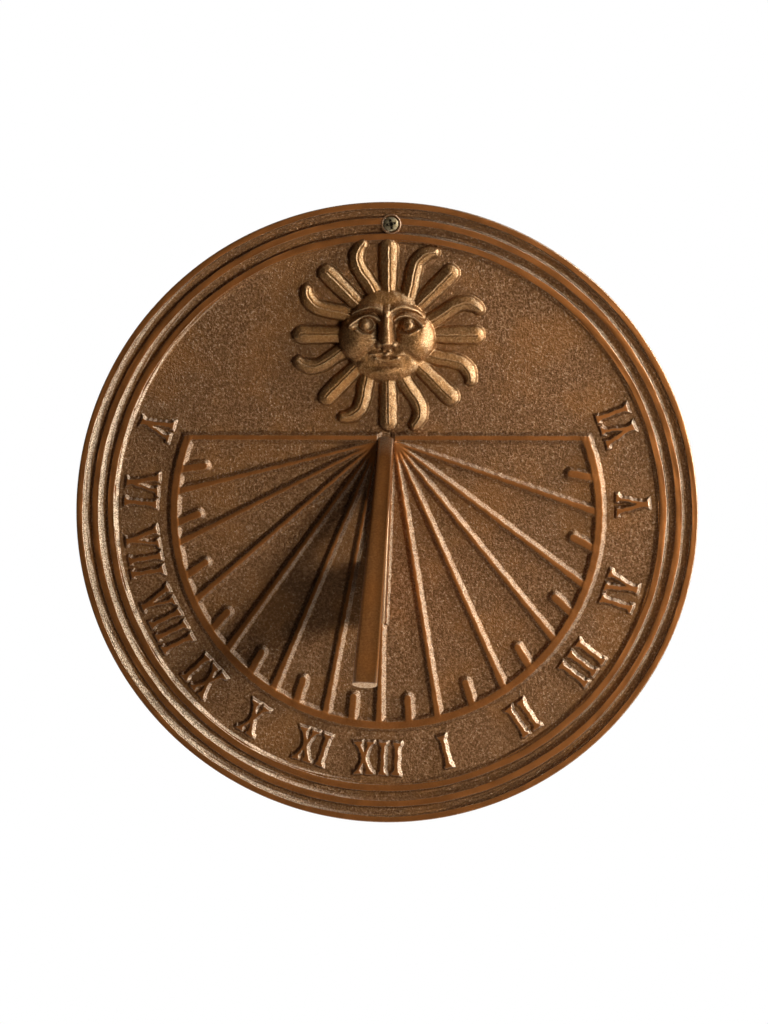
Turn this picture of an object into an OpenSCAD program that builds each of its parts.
// Cast wall sundial: a round plate with a sun in relief over a fan of hour lines, and a
// separate gnomon screwed on from behind.
// The wall is the XZ plane, the dial looks towards -Y and +Z is up. Millimetres.
// Each piece is drawn lying down, x to the right, y up the wall and z out of the wall,
// and on_wall() stands it up.

/* [Plate] */
// Diameter of the dial plate
plate_d = 330; // [324:1:350]
// Thickness of the plate from the wall to its sandy field
field_t = 6; // [5.5:0.5:8]
// Depth of the hollow in the back
hollow_t = 2.5; // [1.5:0.5:3]
// Width of the flat land round the back
land_w = 27; // [24:1:32]
// Bevel of the plate's outer edges
edge_bevel = 0.8; // [0.4:0.1:1.2]

/* [Rim] */
// Number of ridges round the rim
rim_ridges = 3; // [2:1:3]
// Flat top of a ridge
ridge_w = 3.7; // [2.8:0.1:4.2]
// Distance from one ridge to the next
ridge_pitch = 8.3; // [7.4:0.1:8.6]
// Height of the ridges over the field
ridge_h = 2.6; // [1.6:0.1:3.2]
// Depth of the round-bottomed grooves between the ridges
groove_t = 2.4; // [1.4:0.1:2.8]
// Width of the slope from the inner ridge down to the field
rim_slope_w = 2.2; // [1.2:0.1:3]

/* [Hour fan] */
// Height of the fan's top edge above the plate's centre
fan_top_y = 40.5; // [38:0.5:44]
// Radius of the fan's round edge, at its middle
fan_r = 112.8; // [109:0.1:115]
// Flat top of the fan's edge
fan_w = 3.9; // [3:0.1:4.6]
// Flat top of an hour line next to the gnomon
line_root_w = 1.2; // [0.8:0.1:1.8]
// Flat top of an hour line out along the fan
line_w = 2.3; // [1.8:0.1:3]
// Flat top of the broad end of an hour line and of a half-hour mark
mark_w = 3.4; // [2.6:0.1:4]
// Length of the broad end of an hour line
hour_mark_l = 20; // [16:1:26]
// Length of a half-hour mark
half_mark_l = 14; // [10:1:18]
// Height of lines, marks and numerals over the field
line_h = 2; // [1.2:0.1:2.6]
// Width of the slope down each side of a line
slope_w = 1.7; // [1:0.1:2.2]
// Lean of the noon line, which the gnomon follows
noon_lean = 2.3; // [0:0.1:4]

/* [Numerals] */
// Height of the Roman numerals
numeral_h = 17.7; // [14:0.1:19]
// Radius of the circle through the middle of the numerals
numeral_r = 130.6; // [128:0.1:132]
// Thickness of a broad stroke
stroke_w = 2.9; // [2.4:0.1:3.6]
// Thickness of a thin stroke
thin_stroke_w = 2.1; // [1.8:0.1:2.8]
// Length of a serif
serif_l = 5.8; // [5:0.1:6.6]
// Thickness of a serif
serif_t = 1.9; // [1.4:0.1:2.4]

/* [Sun] */
// Height of the sun's middle above the plate's centre
sun_y = 94.9; // [93:0.1:97]
// Sideways place of the sun's middle
sun_x = 1.4; // [0:0.1:3]
// Radius to the tips of the rays
sun_r = 51; // [47:0.5:53]
// Number of straight rays, with a wavy one between each two
straight_rays = 8; // [6:1:8]
// Width of a ray at its foot
ray_w = 9.4; // [8:0.1:10]
// Height of a ray's ridge over the field
ray_h = 4.4; // [3:0.1:6]
// Height of a ray's sides over the field
ray_side_h = 2.2; // [1.5:0.1:3]
// Sideways swing of a wavy ray
ray_swing = 4.2; // [2:0.1:5.5]
// Half the width of the face
face_w = 25; // [22:0.5:26]
// Half the height of the face
face_h = 24.5; // [22:0.5:26]
// Height of the face's dome over the field
face_dome = 11; // [8:0.5:14]

/* [Gnomon] */
// Angle between the style and the wall
style_angle = 49; // [44:1:54]
// Length of wall that the style passes over
gnomon_drop = 115; // [105:1:118]
// Length of wall that the gnomon's foot covers
gnomon_foot_l = 98; // [90:1:100]
// Width of the gnomon at its root
root_w = 8; // [7:0.5:9]
// Width of the style at its tip
tip_w = 12.4; // [10:0.1:14]
// Thickness of the style bar at its middle
style_t = 3.4; // [2.6:0.1:4.4]
// Thickness of the fin behind the style
fin_t = 5; // [4:0.5:6.5]
// Breadth of the fin's members round the window
member_w = 11; // [9:0.5:13]
// Breadth of the solid fin below the window
heel_w = 34; // [28:1:38]
// Height of the pad that the gnomon sits on, over the field
seat_h = 1.5; // [1:0.1:2]
// Width of the pad's edge showing beside the gnomon
seat_edge = 0.8; // [0.5:0.1:1.5]
// Gap of the seam round the gnomon's root
seam = 0.3; // [0.2:0.1:0.6]

/* [Gnomon screws] */
// Diameter of the gnomon screws
screw_d = 5; // [4:0.5:5]
// Diameter of their pan heads
screw_head_d = 9; // [8:0.5:9.5]
// Height of their pan heads
screw_head_h = 2.6; // [2:0.1:3]
// Depth that the screws reach into the gnomon's foot
screw_grip = 7; // [6:0.5:8]
// Thickness of the spring washers
washer_t = 1.2; // [0.8:0.1:1.4]
// Width of the spring washers' ring
washer_w = 1.6; // [1.2:0.1:1.7]
// Distance of the upper screw below the top of the fan
screw_top_y = 16; // [14:1:20]
// Distance between the two screws
screw_pitch = 66; // [60:1:68]

/* [Hanging screw] */
// Distance of the hanging screw in from the plate's edge
hang_in = 11.7; // [11:0.1:12.4]
// Turn of the hanging screw from straight up
hang_turn = 1; // [0:0.5:2]
// Diameter of the hanging screw's shank
hang_d = 4.2; // [3.5:0.1:4.5]
// Diameter of its head
hang_head_d = 7.6; // [7:0.1:8]
// Height of its rounded head over the countersink
hang_head_h = 1.5; // [1:0.1:1.8]
// Length of screw behind the plate
hang_grip = 32; // [25:1:40]
// Diameter of the raised boss round the hole
boss_d = 10.6; // [10:0.1:11.4]
// Radial clearance of the hole round the shank
hang_play = 0.35; // [0.2:0.05:0.5]

/* [Hidden] */
$fn = 64;

// Hours before noon, from the left end of the fan's top edge to noon, each with the lean
// of its line from straight down. The half-hour marks lie between them.
MORNING = [
    ["VI", 76], ["VII", 63], ["VIII", 49], ["IX", 36], ["X", 23], ["XI", 11], ["XII", noon_lean]
];
MORNING_HALVES = [82, 68, 55, 41.5, 29, 17.5, 6.5];
AFTERNOON = [["I", 9], ["II", 24], ["III", 39], ["IV", 53], ["V", 71]];
AFTERNOON_HALVES = [3, 16.5, 31, 46, 62, 80];

plate_r = plate_d / 2;
rim_top = field_t + ridge_h;
fan_level = field_t + line_h;
seat_level = field_t + seat_h;
hollow_r = plate_r - land_w;
// Draft on the walls of the hollow
hollow_draft = 2;
// Depth that raised work is sunk into the field, so that it is one casting with it
sink = 0.6;
foot_w = slope_w * (line_h + sink) / line_h;
hub_x = root_w / 2 + seam;
fan_end_turn = asin(fan_top_y / fan_r);
// Crown of the style's front and thickness of its edges
style_crown = 0.35;
style_edge = 0.8;
// Metal left over the end of a screw in the gnomon's foot
foot_skin = 1.5;
// Clearance of threads in their holes
thread_play = 0.05;
// Clearance of screws and heads in plain holes
hole_play = 0.4;
well_d = screw_head_d + 2 * hole_play + 0.6;
well_t = screw_head_h + washer_t + 0.4;
spine_w = well_d + 7;
hang_x = (plate_r - hang_in) * sin(hang_turn);
hang_y = (plate_r - hang_in) * cos(hang_turn);
// The screw's plain neck is thinner than its thread, which starts behind the plate
neck_r = hang_d / 2 - 0.2;
neck_start = 1;
sunk_t = hang_head_d / 2 - neck_r;
sunk_play = 0.15;
// Height at which the face starts at its edge, over the field
face_lift = 2;

module on_wall() {
    rotate([90, 0, 0]) children();
}

// Everything that follows the noon line is turned with it about the gnomon's root
module on_noon() {
    translate([0, fan_top_y, 0]) rotate(-noon_lean) children();
}

// A point at an angle from straight down, positive to the left as seen
function below(r, turn) = [-r * sin(turn), -r * cos(turn)];

// Distance from a point to the fan's round edge along a line leaning from straight down
function reach(p, turn) =
    let (d = below(1, turn), along = p * d)
    sqrt(along * along - p * p + fan_r * fan_r) - along;

function line_end(p, turn) = p + reach(p, turn) * below(1, turn);

// A solid through a row of closed sections, each with the same number of points
module loft(rings) {
    n = len(rings[0]);
    last = len(rings) - 1;
    polyhedron(
        [for (ring = rings) each ring],
        concat(
            [[for (j = [0:n - 1]) j]],
            [[for (j = [n - 1:-1:0]) last * n + j]],
            [for (i = [0:last - 1], j = [0:n - 1], half = [0, 1])
                let (a = i * n + j, b = i * n + (j + 1) % n)
                half == 0 ? [a, a + n, b + n] : [a, b + n, b]]
        )
    );
}

// Section of a line of the fan: a flat top and a slope down each side. The slopes run out
// ahead of the top by a length, which rounds off a free end.
function line_ring(y, half, low, crest, wider, ahead) = [
    [-half - wider, y + ahead, low], [-half, y, crest], [half, y, crest], [half + wider, y + ahead, low]
];

// A line of the fan from one point to another. Each station is a distance along it, the
// width of its flat top and the height of its top over the field. Neighbours meet at the
// gnomon, so each is sunk a little deeper than the last and no two undersides are level.
module line(from, to, stations, place, round_end) {
    low = field_t - sink - 0.08 * place;
    run = to - from;
    end = stations[len(stations) - 1];
    r = end[1] / 2;
    translate([from.x, from.y, 0]) rotate(atan2(-run.x, run.y)) loft(concat(
        [for (s = stations) line_ring(s[0], s[1] / 2, low, field_t + s[2], foot_w, 0)],
        round_end ? [for (a = [30, 55, 78]) line_ring(
            end[0] + r * sin(a), r * cos(a), low, field_t + end[2], foot_w * cos(a), foot_w * sin(a)
        )] : []
    ));
}

// One groove of the rim, a half wave from an outer to an inner radius
function groove(outer, inner, steps) =
    [for (i = [1:steps - 1])
        let (t = i / steps)
        [outer + (inner - outer) * t, rim_top - groove_t * sin(180 * t)]];

function ridge_outer(i) = i == 0 ? plate_r - edge_bevel : plate_r - i * ridge_pitch;
function ridge_inner(i) = plate_r - i * ridge_pitch - ridge_w;

function rim_outline() = [for (i = [0:rim_ridges - 1]) each concat(
    [[ridge_outer(i), rim_top], [ridge_inner(i), rim_top]],
    i < rim_ridges - 1 ? groove(ridge_inner(i), ridge_outer(i + 1), 8) : []
)];

module blank() {
    inner = ridge_inner(rim_ridges - 1);
    slope = [for (i = [1:4]) let (t = i / 4)
        [inner - rim_slope_w * t, field_t + ridge_h * (1 + cos(180 * t)) / 2]];
    rotate_extrude() polygon(concat(
        [[0, hollow_t], [hollow_r - hollow_draft, hollow_t], [hollow_r, 0]],
        [[plate_r - edge_bevel, 0], [plate_r, edge_bevel], [plate_r, rim_top - edge_bevel]],
        rim_outline(), slope, [[0, field_t]]
    ));
}

// Outline of a bar of a width along -y with round ends, from its first to its last centre
function slot_outline(w, first, last) = concat(
    [for (a = [0:20:180]) [w / 2 * cos(a), first + w / 2 * sin(a)]],
    [for (a = [180:20:360]) [w / 2 * cos(a), last + w / 2 * sin(a)]]
);

// The spine across the hollow back, level with the land, that the gnomon screws pull against
module spine() {
    on_noon() linear_extrude(field_t - sink)
        polygon(slot_outline(spine_w, -screw_top_y, -screw_top_y - screw_pitch));
}

module seat() {
    w = root_w + 2 * seam + 2 * seat_edge;
    on_noon() translate([-w / 2, -gnomon_foot_l - seat_edge, field_t - sink])
        cube([w, gnomon_foot_l + seat_edge - line_w, seat_h + sink]);
}

// The slot in the raised work that the gnomon's foot drops into, down to its seat
module seat_slot() {
    w = root_w + 2 * seam;
    on_noon() translate([-w / 2, -gnomon_foot_l - seam, seat_level])
        cube([w, gnomon_foot_l + 2 * seam + foot_w + line_w, ridge_h + ray_h]);
}

module fan_edge() {
    half = fan_w / 2;
    rotate(180 - fan_end_turn) rotate_extrude(angle = 180 + 2 * fan_end_turn)
        polygon([
            [fan_r - half - foot_w, field_t - sink], [fan_r + half + foot_w, field_t - sink],
            [fan_r + half, fan_level], [fan_r - half, fan_level]
        ]);
}

module hour_line(hub, end, place) {
    l = norm(end - hub);
    line(hub, end, [
        [place % 2 * line_w, line_root_w, line_h * (0.7 + 0.01 * place)],
        [l - hour_mark_l - mark_w, line_w, line_h * 0.9],
        [l - hour_mark_l, mark_w, line_h * 0.92],
        [l, mark_w, line_h * 0.94]
    ], place, false);
}

module half_mark(end, inward) {
    inner = end + half_mark_l * inward;
    line(end, inner, [[0, mark_w, line_h * 0.95], [half_mark_l, mark_w, line_h * 0.9]], 0, true);
}

module fan_side(side, hours, halves) {
    hub = [side * hub_x, fan_top_y - line_w];
    for (i = [0:len(hours) - 1])
        hour_line(hub, line_end(hub, -side * hours[i][1]), i + 1);
    for (lean = halves)
        half_mark(line_end(hub, -side * lean), -below(1, -side * lean));
    line(
        [side * hub_x, fan_top_y], [side * fan_r * cos(fan_end_turn), fan_top_y],
        [[0, line_w, line_h * 0.96], [fan_r * cos(fan_end_turn) - hub_x, line_w, line_h * 0.98]], 0, false
    );
}

// Roman numerals, drawn as serifed strokes
stem_pitch = serif_l + 1.6;
v_advance = 13.6;
x_advance = 12.6;
function advance(letter) = letter == "I" ? stem_pitch : letter == "V" ? v_advance : x_advance;
function width_before(word, i) = i == 0 ? 0 : advance(word[i - 1]) + width_before(word, i - 1);

// A stroke widens by the bracket where it runs into a serif
bracket = 0.9;
bracket_l = 1.6;
module stroke(x_low, x_high, w, low_bracket) {
    rise = numeral_h - serif_t;
    lean = (x_high - x_low) / rise;
    left = [
        [-rise / 2, low_bracket], [bracket_l - rise / 2, 0],
        [rise / 2 - bracket_l, 0], [rise / 2, bracket]
    ];
    right = [for (i = [3:-1:0]) left[i]];
    middle = (x_low + x_high) / 2;
    polygon(concat(
        [for (p = left) [middle + lean * p[0] - w / 2 - p[1], p[0]]],
        [for (p = right) [middle + lean * p[0] + w / 2 + p[1], p[0]]]
    ));
}

module serif(x, end) {
    translate([x, end * (numeral_h - serif_t) / 2]) square([serif_l, serif_t], center = true);
}

module letter(name) {
    spread = (advance(name) - serif_l) / 2;
    if (name == "I") {
        stroke(0, 0, stroke_w, bracket);
        serif(0, 1);
        serif(0, -1);
    }
    if (name == "V") {
        stroke(0, -spread, stroke_w, 0);
        stroke(0, spread, thin_stroke_w, 0);
        serif(-spread, 1);
        serif(spread, 1);
    }
    if (name == "X") {
        stroke(spread, -spread, stroke_w, bracket);
        stroke(-spread, spread, thin_stroke_w, bracket);
        for (x = [-spread, spread], end = [-1, 1])
            serif(x, end);
    }
}

module numeral(word, turn) {
    whole = width_before(word, len(word));
    at = below(numeral_r, turn);
    translate([at.x, at.y, field_t - sink]) rotate(-turn) linear_extrude(line_h + sink)
        union() {
            for (i = [0:len(word) - 1])
                translate([width_before(word, i) + advance(word[i]) / 2 - whole / 2, 0])
                    letter(word[i]);
        }
}

function mark_turn(side, lean) =
    let (end = line_end([side * hub_x, fan_top_y - line_w], -side * lean))
    atan2(-end.x, -end.y);

module numerals() {
    quarter = 90;
    for (h = MORNING)
        numeral(h[0], mark_turn(-1, h[1]));
    for (h = AFTERNOON)
        numeral(h[0], mark_turn(1, h[1]));
    numeral("V", quarter + fan_end_turn);
    numeral("VI", -quarter - fan_end_turn);
}

// A smooth line through a row of points, at a share of its length
function smooth(row, share) =
    let (
        spans = len(row) - 1,
        i = min(spans - 1, floor(share * spans)),
        t = share * spans - i,
        a = row[max(i - 1, 0)],
        b = row[i],
        c = row[i + 1],
        d = row[min(i + 2, spans)]
    )
    b + ((c - a) * t + (2 * a - 5 * b + 4 * c - d) * t * t + (3 * b - a - 3 * c + d) * t * t * t) / 2;

// Rays of the sun: a ridged bar swept along a middle line that leaves the face upwards.
// A wavy one leans back, then curls over to the right at its tip. Its middle line is given
// as shares of the swing and of the ray's length.
STRAIGHT = [[0, 0], [0, 1]];
WAVE = [
    [0.46, 0], [0.38, 0.17], [0.14, 0.356], [-0.167, 0.56],
    [-0.167, 0.73], [0.238, 0.858], [0.81, 0.939], [1.333, 0.973]
];

// Where a ray's sections stand along it, closer together round its tip
STRAIGHT_STATIONS = [0, 0.4, 0.86, 0.9, 0.935, 0.965, 0.987, 1];
WAVE_STATIONS = [each [0:0.08:0.88], 0.92, 0.95, 0.975, 1];

// The width of a ray, as a share of its width at the foot
function straight_taper(t) = 0.93 + 0.07 * min(1, t / 0.4);
function wavy_taper(t) = 0.93 - 0.16 * min(1, t / 0.7) - 0.2 * max(0, t - 0.7) / 0.3;
function rounded_tip(t, start) = t < start ? 1 : sqrt(max(0.03, 1 - pow((t - start) / (1.006 - start), 2)));

// Neighbours meet under the face, so wavy rays are sunk a little deeper than straight ones
module ray(turn, path, stations) {
    foot_r = min(face_w, face_h) - 4;
    wavy = len(path) > 2;
    low = field_t - sink - (wavy ? 0.16 : 0.08);
    size = [ray_swing, sun_r - foot_r - (wavy ? 1 : 0)];
    step = 0.02;
    side = field_t + ray_side_h;
    rotate(-turn) loft([for (t = stations)
        let (
            share = smooth(path, t),
            run = smooth(path, min(1, t + step)) - smooth(path, max(0, t - step)),
            ahead = [run.x * size.x, run.y * size.y] / norm([run.x * size.x, run.y * size.y]),
            across = [ahead.y, -ahead.x],
            middle = [share.x * size.x, foot_r + share.y * size.y],
            taper = wavy ? wavy_taper(t) * rounded_tip(t, 0.88) : straight_taper(t) * rounded_tip(t, 0.86),
            half = taper * ray_w / 2,
            crest = side + (ray_h - ray_side_h) * taper
        )
        [for (p = [
            [-1.17, low], [-1, side], [-0.55, side + (crest - side) * 0.66], [0, crest],
            [0.55, side + (crest - side) * 0.66], [1, side], [1.17, low]
        ]) [each (middle + across * half * p[0]), p[1]]]]);
}

// Height of the face: a dome and two cheeks, with swellings and fine ridges for its features
function blend(a, b, k) =
    let (h = min(1, max(0, 0.5 + 0.5 * (a - b) / k)))
    b + (a - b) * h + k * h * (1 - h);
function oval(p, at, size, low, high, square) =
    let (t = pow(pow(abs(p.x - at.x) / size.x, square) + pow(abs(p.y - at.y) / size.y, square), 1 / square))
    t >= 1 ? low - 45 * (t - 1) : low + (high - low) * sqrt(1 - pow(t, 2.4));
function swell(p, at, size, h) = h * exp(-pow((p.x - at.x) / size.x, 2) - pow((p.y - at.y) / size.y, 2));
function off_span(p, a, b) =
    let (d = b - a, t = min(1, max(0, (p - a) * d / (d * d))))
    norm(p - a - t * d);
function off_path(p, path) = min([for (i = [1:len(path) - 1]) off_span(p, path[i - 1], path[i])]);
function fold(p, path, w, h) = h * exp(-pow(off_path(p, path) / w, 2));

UPPER_LID = curve([4.2, 6.4], [10, 13.4], [18, 5.4], 6);
LOWER_LID = curve([5.6, 2.4], [10.6, -1], [16, 3], 5);
BROW = curve([1.4, 8], [5, 19], [21.6, 9], 7);
SMILE_FOLD = curve([5.4, -6], [9.2, -9.2], [15.4, -12.4], 5);
UPPER_LIP = curve([0, -9.6], [2.4, -7.4], [7.4, -11], 5);
LOWER_LIP = curve([0, -13.4], [3, -13.4], [5.4, -12.4], 4);
MOUTH = curve([0, -11.4], [4, -11.4], [8.6, -10.6], 4);
NOSE = [[0, 11], [0, -3]];

// Sizes that the features are drawn for. A face of another size is measured on these.
drawn_face = [25, 24.5];
// Half sizes of the skull, and how square its outline is
skull = [21.6, 24];
skull_square = 2.35;
// How far the cheeks swell the outline, and how wide a turn they take
cheek_out = 3.9;
cheek_turn = 20;

// Both halves of the face are alike, so one is worked out for the two
function features(p) =
    swell(p, [15.5, -4.5], [6.5, 6], 1.2)
    - swell(p, [9.8, 5], [6.4, 4.6], 4.2)
    + swell(p, [10.6, 5], [3.5, 2.9], 5.2)
    + fold(p, UPPER_LID, 1.7, 1.9)
    + fold(p, LOWER_LID, 1.5, 0.6)
    + fold(p, BROW, 2.3, 2.2)
    - swell(p, [4.4, 1.6], [1.8, 5.4], 2.2)
    + swell(p, [4, -3.7], [2, 1.7], 2.2)
    - fold(p, SMILE_FOLD, 1.5, 1.1)
    + fold(p, NOSE, 2.1, 5.2)
    + swell(p, [0, -3.4], [2.8, 2.2], 2.4)
    - swell(p, [0, -7.2], [1.4, 1.5], 0.8)
    + fold(p, UPPER_LIP, 1.2, 1.6)
    - fold(p, MOUTH, 1, 1.3)
    + fold(p, LOWER_LIP, 1.3, 1.9)
    - swell(p, [0, -15.8], [6, 1.3], 1.4)
    + swell(p, [0, -19.4], [7.5, 2.8], 1.8);

function face_height(x, y) =
    let (
        p = [abs(x) * drawn_face.x / face_w, y * drawn_face.y / face_h],
        narrowed = [p.x * (1 + 0.12 * min(1, max(0, p.y / 20))), p.y],
        head = oval(narrowed, [0, -0.3], skull, 0, face_dome - 3.6, skull_square),
        cheek = oval(p, [12.6, -1.8], [12.9, 12.6], 0.8, face_dome - 2.2, 2.2)
    )
    max(0, blend(head, cheek, 1.6) + features(p)) + face_lift;

// Outline of the face: full cheeks under a narrower forehead, squared like the skull
function face_edge(a) =
    let (
        x = abs(cos(a)) * (1 + 0.1 * max(0, sin(a))) / skull.x,
        y = abs(sin(a)) / skull.y,
        lift = asin(sin(a)),
        cheek = cheek_out * exp(-pow((lift + 4) / cheek_turn, 2)),
        r = pow(pow(x, skull_square) + pow(y, skull_square), -1 / skull_square) + cheek
    )
    [r * cos(a) * face_w / drawn_face.x, r * sin(a) * face_h / drawn_face.y];

// The net of the face is mirrored about its middle, so that both eyes are alike
module face(rings, sectors) {
    points = [for (i = [0:rings - 1], j = [0:sectors - 1])
        let (t = 1 - pow(i / rings, 1.2), p = face_edge(360 * j / sectors) * t)
        [p.x, p.y, field_t + face_height(p.x, p.y)]];
    rim = [for (j = [0:sectors - 1])
        let (p = face_edge(360 * j / sectors) * 1.02)
        [p.x, p.y, field_t - sink]];
    top = rings * sectors;
    polyhedron(
        concat(points, [[0, 0, field_t + face_height(0, 0)]], rim),
        concat(
            [for (i = [0:rings - 2], j = [0:sectors - 1], half = [0, 1])
                let (
                    a = i * sectors + j,
                    b = i * sectors + (j + 1) % sectors,
                    c = a + sectors,
                    d = b + sectors,
                    right = cos(360 * (j + 0.5) / sectors) > 0
                )
                half == 0 ? [a, c, right ? d : b] : [right ? a : c, d, b]],
            [for (j = [0:sectors - 1]) let (a = (rings - 1) * sectors)
                [a + j, top, a + (j + 1) % sectors]],
            [for (j = [0:sectors - 1], half = [0, 1]) let (k = (j + 1) % sectors)
                half == 0 ? [top + 1 + j, j, k] : [top + 1 + j, k, top + 1 + k]],
            [[for (j = [0:sectors - 1]) top + 1 + j]]
        )
    );
}

module sun() {
    step = 360 / straight_rays;
    translate([sun_x, sun_y, 0]) {
        for (i = [0:straight_rays - 1]) {
            ray(i * step, STRAIGHT, STRAIGHT_STATIONS);
            ray((i + 0.5) * step, WAVE, WAVE_STATIONS);
        }
        face(24, 60);
    }
}

module hang_boss() {
    translate([hang_x, hang_y, 0]) cylinder(d = boss_d, h = rim_top);
}

module hang_hole() {
    translate([hang_x, hang_y, -1]) cylinder(d = hang_d + 2 * hang_play, h = rim_top + 2);
    translate([hang_x, hang_y, rim_top - sunk_t - sunk_play])
        cylinder(r1 = neck_r, r2 = neck_r + sunk_t + 2 * sunk_play, h = sunk_t + 2 * sunk_play);
    // Room for the head where a ray of the sun reaches the boss
    translate([hang_x, hang_y, rim_top + sunk_play / 2])
        cylinder(r = neck_r + sunk_t + 2 * sunk_play, h = ray_h);
}

module at_screw(place) {
    on_noon() translate([0, -screw_top_y - place * screw_pitch, 0]) children();
}

module screw_well() {
    translate([0, 0, -1]) cylinder(d = well_d, h = well_t + 1);
    cylinder(d = screw_d + 2 * hole_play, h = seat_level + 1);
}

module dial_plate() {
    color("peru") on_wall() difference() {
        union() {
            blank();
            spine();
            seat();
            fan_edge();
            fan_side(-1, MORNING, MORNING_HALVES);
            fan_side(1, AFTERNOON, AFTERNOON_HALVES);
            numerals();
            sun();
            hang_boss();
        }
        seat_slot();
        hang_hole();
        for (place = [0, 1])
            at_screw(place) screw_well();
    }
}

// Side view of the gnomon: x along the wall below its root, y out of the wall.
// The foot lies on x, the style rises to the tip and the lower edge curves back to the foot.
style_rise = gnomon_drop * tan(style_angle);
style_l = gnomon_drop / cos(style_angle);

function curve(a, b, c, steps) =
    [for (i = [0:steps]) let (t = i / steps) a * (1 - t) * (1 - t) + b * 2 * t * (1 - t) + c * t * t];

module fin_outline() {
    tip = [gnomon_drop, style_rise];
    back = tip - style_t * [-sin(style_angle), cos(style_angle)];
    heel = [gnomon_foot_l, 0];
    bend = [gnomon_foot_l - 6, style_rise * 0.45];
    polygon(concat([[0, 0], tip], curve(back, bend, heel, 12)));
}

module window_outline() {
    corner_r = 4;
    side = member_w + corner_r;
    low_x = gnomon_foot_l - heel_w - corner_r;
    low_y = low_x * tan(style_angle) - side / cos(style_angle);
    high_x = (side + side / cos(style_angle)) / tan(style_angle);
    hull() {
        translate([high_x, side]) circle(corner_r, $fn = 32);
        translate([low_x, side]) circle(corner_r, $fn = 32);
        translate([low_x, low_y]) circle(corner_r, $fn = 32);
    }
}

// Section of the style bar, flat in front with a slight crown, and round behind
function style_section(w) = concat(
    [for (i = [0:4]) let (t = i / 4) [w / 2 - w * t, style_crown * sin(180 * t)]],
    [for (a = [180:20:360]) [w / 2 * cos(a), (style_t - style_edge) * sin(a) - style_edge]]
);

module style_bar() {
    loft([for (end = [0, 1]) [for (p = style_section(end == 0 ? root_w : tip_w)) [p.x, p.y, end * style_l]]]);
}

// The foot, cut off along the style at the root
module foot_outline() {
    h = screw_grip + foot_skin;
    polygon([[seam, 0], [gnomon_foot_l, 0], [gnomon_foot_l, h], [seam + h / tan(style_angle), h]]);
}

// Stands a side view up across the dial, with a thickness to each side of the noon line
module across(t) {
    rotate([90, 0, -90]) translate([0, 0, -t / 2]) linear_extrude(t) children();
}

module gnomon() {
    color("chocolate") on_wall() on_noon() translate([0, 0, seat_level]) difference() {
        intersection() {
            union() {
                across(fin_t) difference() {
                    fin_outline();
                    window_outline();
                }
                across(root_w - 2 * seam) foot_outline();
                rotate([90 - style_angle, 0, 0]) style_bar();
            }
            translate([-tip_w, -gnomon_drop - tip_w, 0])
                cube([2 * tip_w, gnomon_drop + tip_w, style_rise + tip_w]);
        }
        for (place = [0, 1])
            translate([0, -screw_top_y - place * screw_pitch, -1])
                cylinder(d = screw_d + 2 * thread_play, h = screw_grip + 1.5);
    }
}

module gnomon_screw(place) {
    under_head = well_t - washer_t;
    tip = seat_level + screw_grip;
    color("goldenrod") on_wall() at_screw(place) difference() {
        union() {
            rotate_extrude() polygon([
                [0, under_head - screw_head_h], [screw_head_d * 0.32, under_head - screw_head_h],
                [screw_head_d / 2, under_head - screw_head_h * 0.45], [screw_head_d / 2, under_head],
                [screw_d / 2, under_head], [screw_d / 2, tip - 0.8], [screw_d / 2 - 0.8, tip], [0, tip]
            ]);
        }
        translate([-screw_head_d, -0.6, under_head - screw_head_h - 1])
            cube([2 * screw_head_d, 1.2, 1 + screw_head_h * 0.45]);
    }
}

module spring_washer(place) {
    inner = screw_d / 2 + hole_play / 2;
    color("silver") on_wall() at_screw(place) translate([0, 0, well_t - washer_t])
        rotate_extrude(angle = 348) translate([inner, 0]) square([washer_w, washer_t]);
}

module hanging_screw() {
    seat_z = rim_top - sunk_t;
    color("gray") on_wall() translate([hang_x, hang_y, 0]) difference() {
        rotate_extrude() polygon(concat(
            [[0, -hang_grip], [hang_d / 2, hang_d - hang_grip], [hang_d / 2, -neck_start]],
            [[neck_r, hang_d / 2 - neck_r - neck_start], [neck_r, seat_z]],
            [[hang_head_d / 2, rim_top]],
            [for (a = [15:15:75]) [hang_head_d / 2 * cos(a), rim_top + hang_head_h * sin(a)]],
            [[0, rim_top + hang_head_h]]
        ));
        for (turn = [0, 90])
            translate([0, 0, rim_top + hang_head_h]) rotate(turn)
                cube([hang_head_d * 0.55, 1, 2.4], center = true);
    }
}

dial_plate();
gnomon();
gnomon_screw(0);  // gnomon_screw_upper
gnomon_screw(1);  // gnomon_screw_lower
spring_washer(0);  // spring_washer_upper
spring_washer(1);  // spring_washer_lower
hanging_screw();
